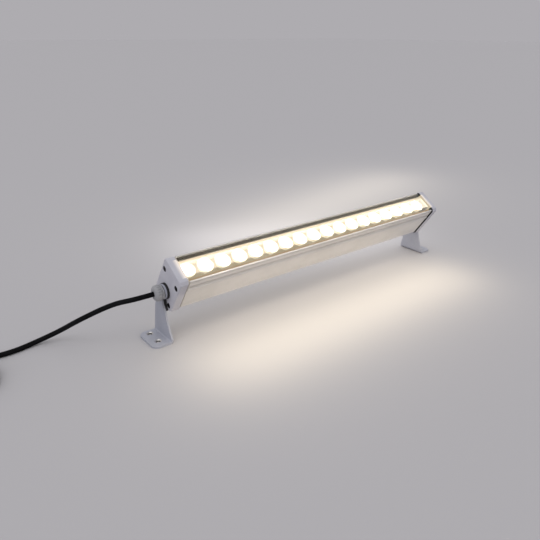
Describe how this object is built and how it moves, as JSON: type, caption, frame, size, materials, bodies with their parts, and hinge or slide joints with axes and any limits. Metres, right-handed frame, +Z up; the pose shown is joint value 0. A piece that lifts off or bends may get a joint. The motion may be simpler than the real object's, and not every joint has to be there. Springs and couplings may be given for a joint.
{
  "type": "linear wall washer light",
  "caption": "Slim linear wall washer light with a row of round optics behind a glass window, end caps, a cable gland and two foot brackets that let it tilt.",
  "frame": {"origin": "middle of the lamp's footprint on the surface that it stands on, the cord left out", "axes": "+X along the lamp away from its cable end, +Y away from the lit side, +Z up from the mounting surface"},
  "size_m": [0.9576, 0.1319, 0.1149],
  "materials": {
    "anodised_extrusion": "satin anodised",
    "clear_glass": "clear, polished",
    "seal_rubber": "matte",
    "board_mask": "matte solder mask",
    "led_emitter": "phosphor",
    "lens_clear": "polished",
    "holder_dark": "matte",
    "steel_screw": "plain",
    "terminal_plastic": "matte",
    "driver_case": "matte",
    "lead_sheath": "smooth sleeving",
    "cap_coating": "fine powder coat",
    "gland_nylon": "moulded",
    "bracket_coating": "fine powder coat",
    "pad_rubber": "matte",
    "cord_sheath": "smooth matte",
    "plug_plastic": "moulded",
    "pin_brass": "bright"
  },
  "bodies": {
    "mount_left": {"bracket_left": "bracket_coating", "pivot_pad_left": "pad_rubber", "cord_lead": "cord_sheath", "cord_coil": "cord_sheath", "cord_tail": "cord_sheath", "plug_body": "plug_plastic", "plug_ring": "plug_plastic", "plug_pins": "pin_brass"},
    "lamp": {"housing": "anodised_extrusion", "window_glass": "clear_glass", "glazing_strips": "seal_rubber", "led_board": "board_mask", "led_chips": "led_emitter", "optics": "lens_clear", "optic_holders": "holder_dark", "board_screws": "steel_screw", "terminal_block": "terminal_plastic", "driver": "driver_case", "driver_screws": "steel_screw", "supply_leads": "lead_sheath", "led_leads": "lead_sheath", "cap_left": "cap_coating", "cap_right": "cap_coating", "gasket_left": "seal_rubber", "gasket_right": "seal_rubber", "cap_screws_left": "steel_screw", "cap_screws_right": "steel_screw", "gland_body": "gland_nylon", "gland_washer": "seal_rubber", "gland_seal": "seal_rubber", "gland_nut": "gland_nylon", "gland_locknut": "gland_nylon", "pivot_screw": "steel_screw", "pivot_washer": "steel_screw", "pivot_nut": "steel_screw"},
    "mount_right": {"bracket_right": "bracket_coating", "pivot_pad_right": "pad_rubber"}
  },
  "joints": [
    {"name": "lamp_tilt", "type": "hinge", "parent": "mount_left", "child": "lamp", "pos_m": [0, 0.00493, 0.069], "axis": [1, 0, 0], "range_deg": [-120, 75]},
    {"name": "right_bracket", "type": "hinge", "parent": "lamp", "child": "mount_right", "pos_m": [0, 0.00493, 0.069], "axis": [1, 0, 0], "range_deg": [-75, 120]}
  ],
  "couplings": [
    {"joint": "right_bracket", "follows": "lamp_tilt", "ratio": -1}
  ]
}
